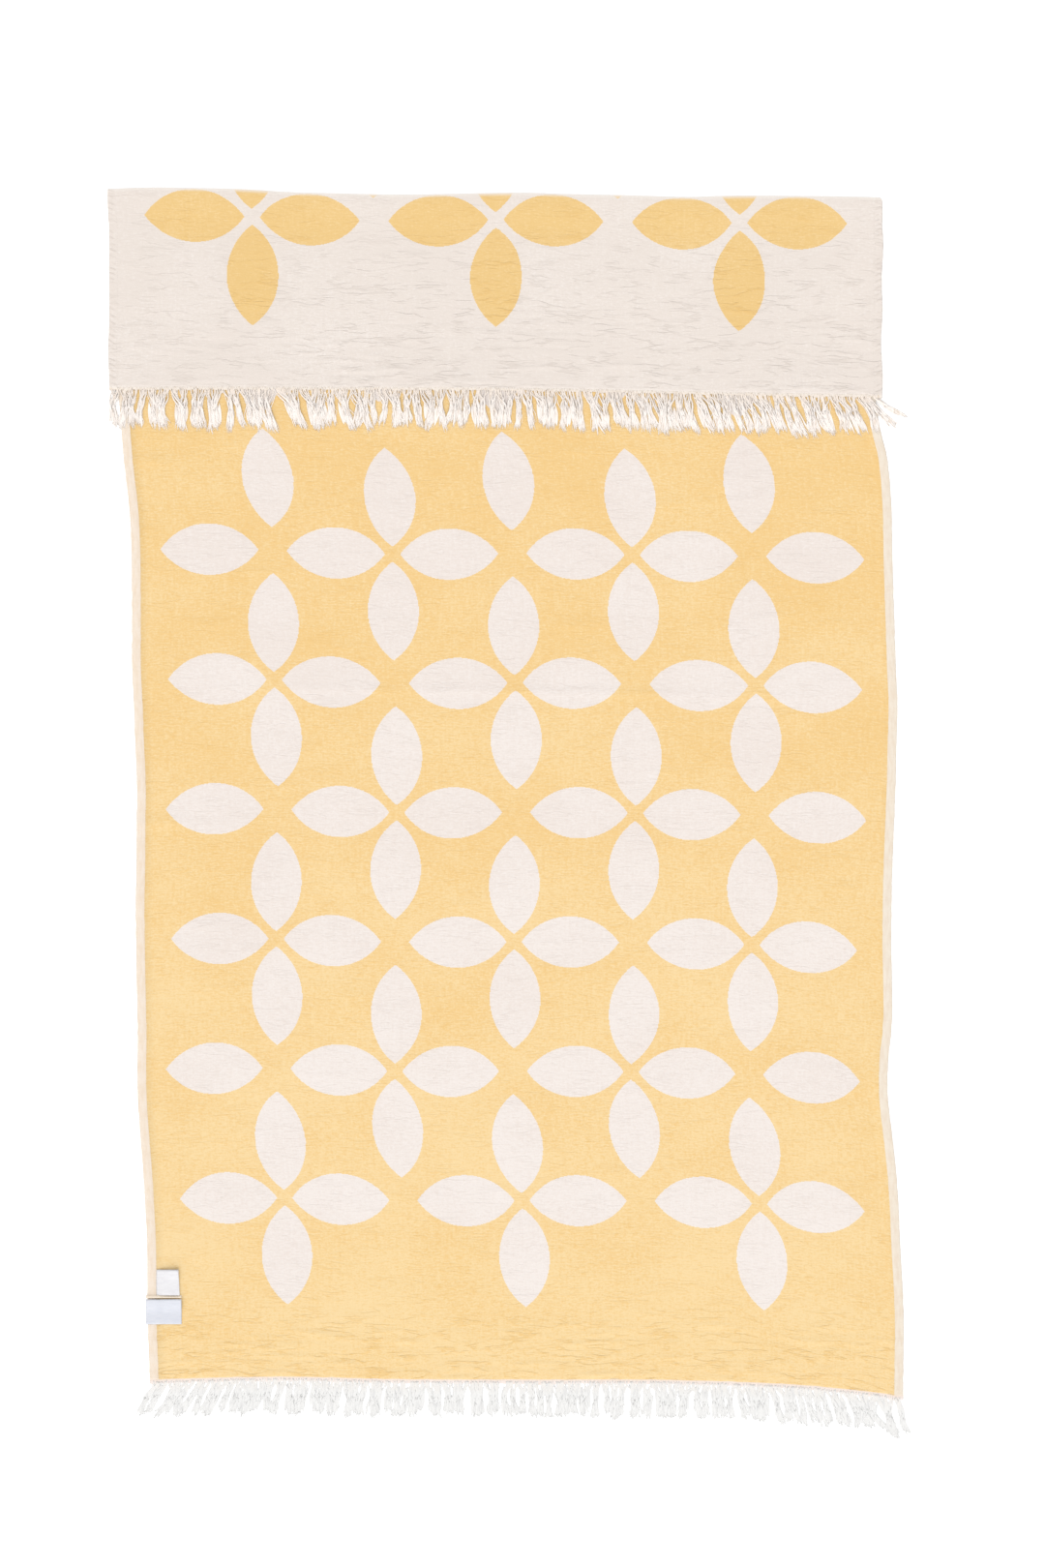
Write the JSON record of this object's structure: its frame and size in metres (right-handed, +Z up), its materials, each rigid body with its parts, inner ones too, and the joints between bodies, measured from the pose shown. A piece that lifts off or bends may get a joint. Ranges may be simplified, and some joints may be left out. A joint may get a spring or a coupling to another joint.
{
  "type": "hammam towel",
  "caption": "Large flat-woven double-cloth towel with turned side hems and fringed ends, lying face up with its top end folded over",
  "frame": {"origin": "on the surface that the towel lies on, under the middle of its box", "axes": "+Z up from the surface; +Y along the towel's length, towards the fold; +X across it, to the right seen from above"},
  "size_m": [1.054, 1.634, 0.0069],
  "materials": {
    "woven_cotton": "light double-woven cotton, fine crinkled muslin hand, yellow face with cream motifs, matte",
    "cotton_yarn": "loose off-white cotton threads with a soft twist, matte",
    "label_tape": "blank white woven tape, matte",
    "label_satin": "blank white satin ribbon, soft sheen"
  },
  "bodies": {
    "root": {"towel_cloth": "woven_cotton", "fringe_flap": "cotton_yarn", "fringe_foot": "cotton_yarn", "label_small": "label_tape", "label_care": "label_satin"}
  },
  "joints": []
}
